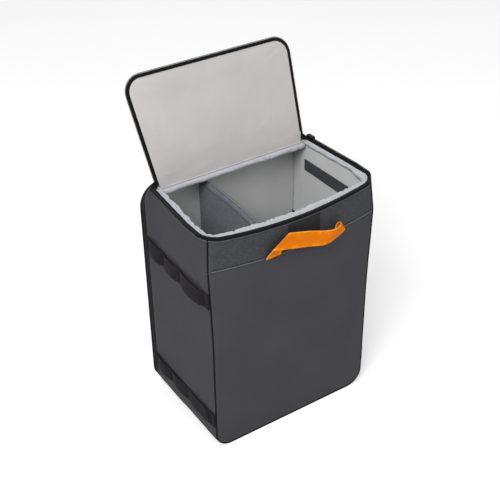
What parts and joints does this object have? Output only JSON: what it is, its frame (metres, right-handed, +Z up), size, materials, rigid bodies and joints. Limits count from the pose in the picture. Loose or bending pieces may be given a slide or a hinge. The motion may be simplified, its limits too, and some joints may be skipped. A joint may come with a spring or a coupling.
{
  "type": "camera bag insert",
  "caption": "Padded fabric box with a zipped top lid, a zipped rear door, movable dividers, a front handle and webbing loops on its sides, for carrying camera gear.",
  "frame": {"origin": "middle of the box's flat base, midway between front and rear", "axes": "+Z up, +X to the right of someone who faces the front, -Y out of the front with the handle"},
  "size_m": [0.3282, 0.2674, 0.5727],
  "materials": {
    "body": "fine smooth weave",
    "band": "heathered weave",
    "trim": "black binding tape",
    "coil": "nylon coil",
    "webbing": "dark webbing",
    "foam": "closed-cell foam board",
    "lining": "brushed lining",
    "lip": "light rolled lining",
    "lid_lining": "brushed lining",
    "divider": "heather loop fabric",
    "handle": "orange webbing",
    "label": "smooth blank patch",
    "metal": "black enamel"
  },
  "bodies": {
    "box": {"front_panel": "body", "front_band": "band", "base_panel": "body", "rear_top_panel": "body", "left_side_panel": "body", "right_side_panel": "body", "front_foam": "foam", "base_foam": "foam", "rear_top_foam": "foam", "left_foam": "foam", "right_foam": "foam", "front_lining": "lining", "base_lining": "lining", "rear_top_lining": "lining", "left_lining": "lining", "right_lining": "lining", "left_upper_webbing": "webbing", "left_lower_webbing": "webbing", "right_upper_webbing": "webbing", "right_lower_webbing": "webbing", "front_piping": "trim", "rim_lip": "lip", "body_zip_tape": "trim", "body_zip_coil": "coil", "hinge_lip": "lip", "lid_hinge": "trim", "door_zip_tape_body": "trim", "door_zip_coil_body": "coil", "door_hinge": "trim", "long_divider": "divider", "left_shelf_upper": "divider", "left_shelf_lower": "divider", "right_shelf_upper": "divider", "right_shelf_lower": "divider", "right_wall_strip": "divider", "label_patch": "label"},
    "lid": {"lid_cover": "band", "lid_foam": "foam", "lid_lining": "lid_lining", "lid_zip_tape": "trim", "lid_zip_coil": "coil", "lid_binding": "trim"},
    "door": {"door_cover": "body", "door_foam": "foam", "door_lining": "lining", "door_binding": "trim", "door_zip_tape": "trim", "door_zip_coil": "coil"},
    "handle": {"front_handle": "handle"},
    "lid_slider": {"lid_zip_slider": "metal"},
    "lid_pull": {"lid_zip_pull": "trim"},
    "door_slider_left": {"door_zip_slider_left": "metal"},
    "door_pull_left": {"door_zip_pull_left": "trim"},
    "door_slider_right": {"door_zip_slider_right": "metal"},
    "door_pull_right": {"door_zip_pull_right": "trim"}
  },
  "joints": [
    {"name": "lid_hinge", "type": "hinge", "parent": "box", "child": "lid", "pos_m": [0, 0.069, 0.4171], "axis": [1, 0, 0], "range_deg": [-50, 112.9]},
    {"name": "door_hinge", "type": "hinge", "parent": "box", "child": "door", "pos_m": [0.15, 0.105, 0.2], "axis": [0, 0, -1], "range_deg": [0, 170]},
    {"name": "handle_swing", "type": "hinge", "parent": "box", "child": "handle", "pos_m": [-0.047, -0.11742, 0.3514], "axis": [0.9997, 0.0201, 0.0104], "range_deg": [0, 90]},
    {"name": "lid_slider_travel", "type": "slide", "parent": "box", "child": "lid_slider", "axis": [0.0712, -0.9975, 0], "range_m": [0, 0.1]},
    {"name": "lid_pull_swing", "type": "hinge", "parent": "lid_slider", "child": "lid_pull", "pos_m": [0.15252, 0.0575, 0.4165], "axis": [0.0712, -0.9975, 0], "range_deg": [0, 150]},
    {"name": "door_slider_left_travel", "type": "slide", "parent": "box", "child": "door_slider_left", "axis": [-1, 0, 0], "range_m": [0, 0.09]},
    {"name": "door_pull_left_swing", "type": "hinge", "parent": "door_slider_left", "child": "door_pull_left", "pos_m": [-0.0085, 0.0948, 0.40595], "axis": [-1, 0, 0], "range_deg": [0, 100]},
    {"name": "door_slider_right_travel", "type": "slide", "parent": "box", "child": "door_slider_right", "axis": [1, 0, 0], "range_m": [0, 0.09]},
    {"name": "door_pull_right_swing", "type": "hinge", "parent": "door_slider_right", "child": "door_pull_right", "pos_m": [0.0085, 0.0948, 0.40595], "axis": [-1, 0, 0], "range_deg": [0, 100]}
  ]
}
